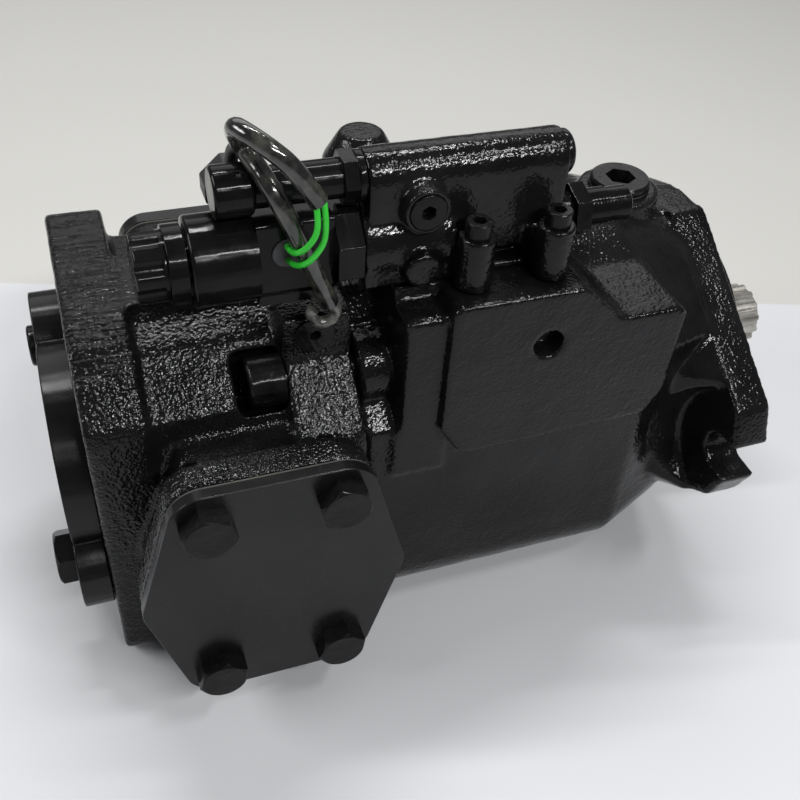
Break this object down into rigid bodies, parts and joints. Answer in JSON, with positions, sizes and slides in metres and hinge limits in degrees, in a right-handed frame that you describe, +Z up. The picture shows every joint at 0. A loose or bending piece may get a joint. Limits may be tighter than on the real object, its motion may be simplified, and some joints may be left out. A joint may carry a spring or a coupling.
{
  "type": "axial piston pump",
  "caption": "Flange mounted variable axial piston hydraulic pump with splined shaft, covered side ports, solenoid control valve and a cable sleeve.",
  "frame": {"origin": "centre of the mounting flange's face, on the drive shaft's axis", "axes": "+X out along the drive shaft, -Y towards the large suction port, +Z up towards the control valve"},
  "size_m": [0.3636, 0.2169, 0.2509],
  "materials": {
    "black_casting": "gloss black paint over a rough casting",
    "black_steel": "satin black paint over machined steel",
    "black_fasteners": "gloss black paint over forged heads",
    "bare_steel": "ground steel",
    "spring_steel": "drawn wire",
    "grey_iron": "machined iron",
    "bronze": "machined bronze",
    "rubber": "matt",
    "gasket": "matt fibre",
    "grey_grommet": "matt grey",
    "clear_sleeve": "glossy smoky tube",
    "green_wire": "satin insulation",
    "black_plastic": "matt"
  },
  "bodies": {
    "housing": {"bias_piston": "bare_steel", "bias_spring": "spring_steel", "cable_plug": "black_plastic", "cable_sleeve": "clear_sleeve", "coil": "black_steel", "coil_nut": "black_steel", "coil_ring": "black_steel", "control_piston": "bare_steel", "cradle_bearings": "bronze", "drain_plug": "black_steel", "drain_seal": "gasket", "end_cover": "black_steel", "end_cover_bolt": "black_fasteners", "end_cover_screw": "black_fasteners", "end_plug": "black_steel", "front_bearing_outer": "bare_steel", "grommet": "grey_grommet", "housing": "black_casting", "joint_screws": "black_fasteners", "lower_spring": "spring_steel", "lug_plug": "black_steel", "port_plate": "black_casting", "port_plug": "black_steel", "pressure_bolts": "black_fasteners", "pressure_cover": "black_steel", "pressure_seal": "gasket", "rear_bearing_outer": "bare_steel", "right_nut": "black_steel", "seal_ring": "rubber", "shaft_seal": "rubber", "sleeve_hook": "clear_sleeve", "solenoid_tube": "black_steel", "suction_bolts": "black_fasteners", "suction_cover": "black_steel", "suction_seal": "gasket", "swashplate": "bare_steel", "upper_sleeve": "black_steel", "upper_spring": "spring_steel", "valve_body": "black_casting", "valve_plate": "bronze", "valve_screws": "black_fasteners", "wire_lower": "green_wire", "wire_upper": "green_wire"},
    "rotating_group": {"drive_shaft": "bare_steel", "front_bearing_inner": "bare_steel", "rear_bearing_inner": "bare_steel", "cylinder_block": "grey_iron", "pistons": "bare_steel", "slippers": "bronze", "retainer_plate": "bare_steel", "retainer_guide": "bare_steel", "block_spring": "spring_steel"},
    "upper_spool": {"upper_spool": "bare_steel"},
    "lower_spool": {"lower_spool": "bare_steel"},
    "armature": {"armature": "bare_steel"},
    "upper_screw": {"upper_screw": "black_steel"},
    "upper_seat": {"upper_seat": "bare_steel"},
    "right_screw": {"right_screw": "black_steel"},
    "lower_seat": {"lower_seat": "bare_steel"}
  },
  "joints": [
    {"name": "shaft_spin", "type": "hinge", "parent": "housing", "child": "rotating_group", "pos_m": [0, 0, 0], "axis": [1, 0, 0], "continuous": true},
    {"name": "upper_spool_slide", "type": "slide", "parent": "housing", "child": "upper_spool", "axis": [1, 0, 0], "range_m": [-0.0015, 0.0015], "stiffness_N_per_m": 300, "deforming": ["upper_spring"]},
    {"name": "lower_spool_slide", "type": "slide", "parent": "housing", "child": "lower_spool", "axis": [1, 0, 0], "range_m": [0, 0.002], "stiffness_N_per_m": 300, "deforming": ["lower_spring"]},
    {"name": "armature_slide", "type": "slide", "parent": "housing", "child": "armature", "axis": [1, 0, 0], "range_m": [0, 0.002]},
    {"name": "upper_screw_turn", "type": "hinge", "parent": "housing", "child": "upper_screw", "pos_m": [-0.223, -0.041, 0.1344], "axis": [1, 0, 0], "range_deg": [-2, 542]},
    {"name": "upper_seat_slide", "type": "slide", "parent": "housing", "child": "upper_seat", "axis": [1, 0, 0], "range_m": [0, 0.0015]},
    {"name": "right_screw_turn", "type": "hinge", "parent": "housing", "child": "right_screw", "pos_m": [-0.0745, -0.041, 0.108], "axis": [1, 0, 0], "range_deg": [-2, 542]},
    {"name": "lower_seat_slide", "type": "slide", "parent": "housing", "child": "lower_seat", "axis": [1, 0, 0], "range_m": [-0.0015, 0]}
  ],
  "couplings": [
    {"joint": "armature_slide", "follows": "lower_spool_slide", "ratio": 1},
    {"joint": "upper_screw_turn", "follows": "upper_seat_slide", "rad_per_m": 6283.2},
    {"joint": "right_screw_turn", "follows": "lower_seat_slide", "rad_per_m": -6283.2}
  ]
}
